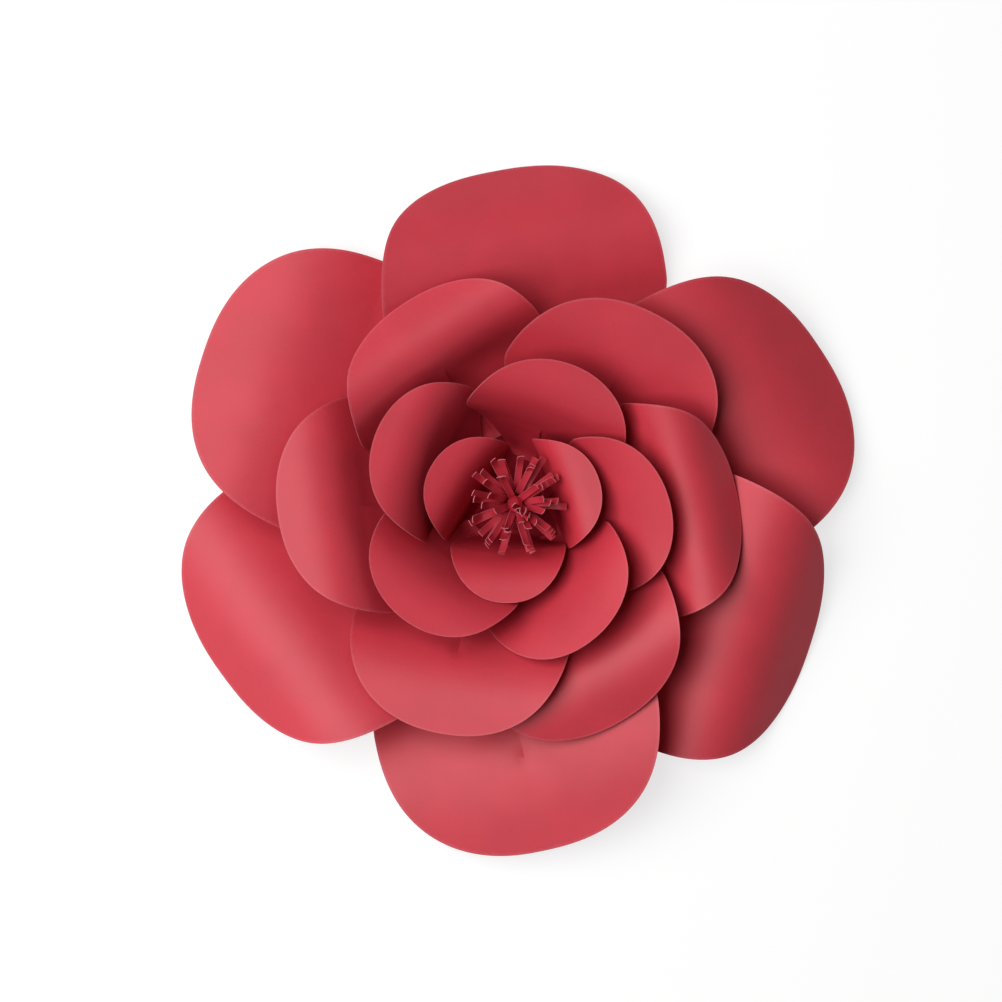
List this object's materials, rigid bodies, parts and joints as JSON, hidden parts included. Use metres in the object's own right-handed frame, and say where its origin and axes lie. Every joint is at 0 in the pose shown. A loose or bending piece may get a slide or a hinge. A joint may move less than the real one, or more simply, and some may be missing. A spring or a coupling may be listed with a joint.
{
  "type": "giant paper flower",
  "caption": "Hand-made paper flower for a wall or a backdrop: rings of lapped, rolled-back card petals round a fringed roll, glued to a round backing card.",
  "frame": {"origin": "middle of the backing card's underside, which lies against the wall or table", "axes": "+Z out of the flower's face, +Y towards its top as it hangs in the picture"},
  "size_m": [0.3043, 0.3122, 0.0481],
  "materials": {
    "outer_card": "matt card",
    "middle_card": "matt card",
    "small_card": "matt card",
    "inner_card": "matt card",
    "fringe_card": "matt card",
    "backing_card": "matt card"
  },
  "bodies": {
    "root": {"backing_disc": "backing_card", "outer_petal_top_left": "outer_card", "outer_petal_top": "outer_card", "outer_petal_right_top": "outer_card", "outer_petal_right_bottom": "outer_card", "outer_petal_bottom": "outer_card", "outer_petal_left_bottom": "outer_card", "middle_petal_top_left": "middle_card", "middle_petal_top_right": "middle_card", "middle_petal_right": "middle_card", "middle_petal_bottom_right": "middle_card", "middle_petal_bottom_left": "middle_card", "middle_petal_left": "middle_card", "small_petal_top_left": "small_card", "small_petal_top": "small_card", "small_petal_right": "small_card", "small_petal_bottom_right": "small_card", "small_petal_bottom_left": "small_card", "inner_petal_left": "inner_card", "inner_petal_right": "inner_card", "inner_petal_bottom": "inner_card", "fringed_roll": "fringe_card"}
  },
  "joints": []
}
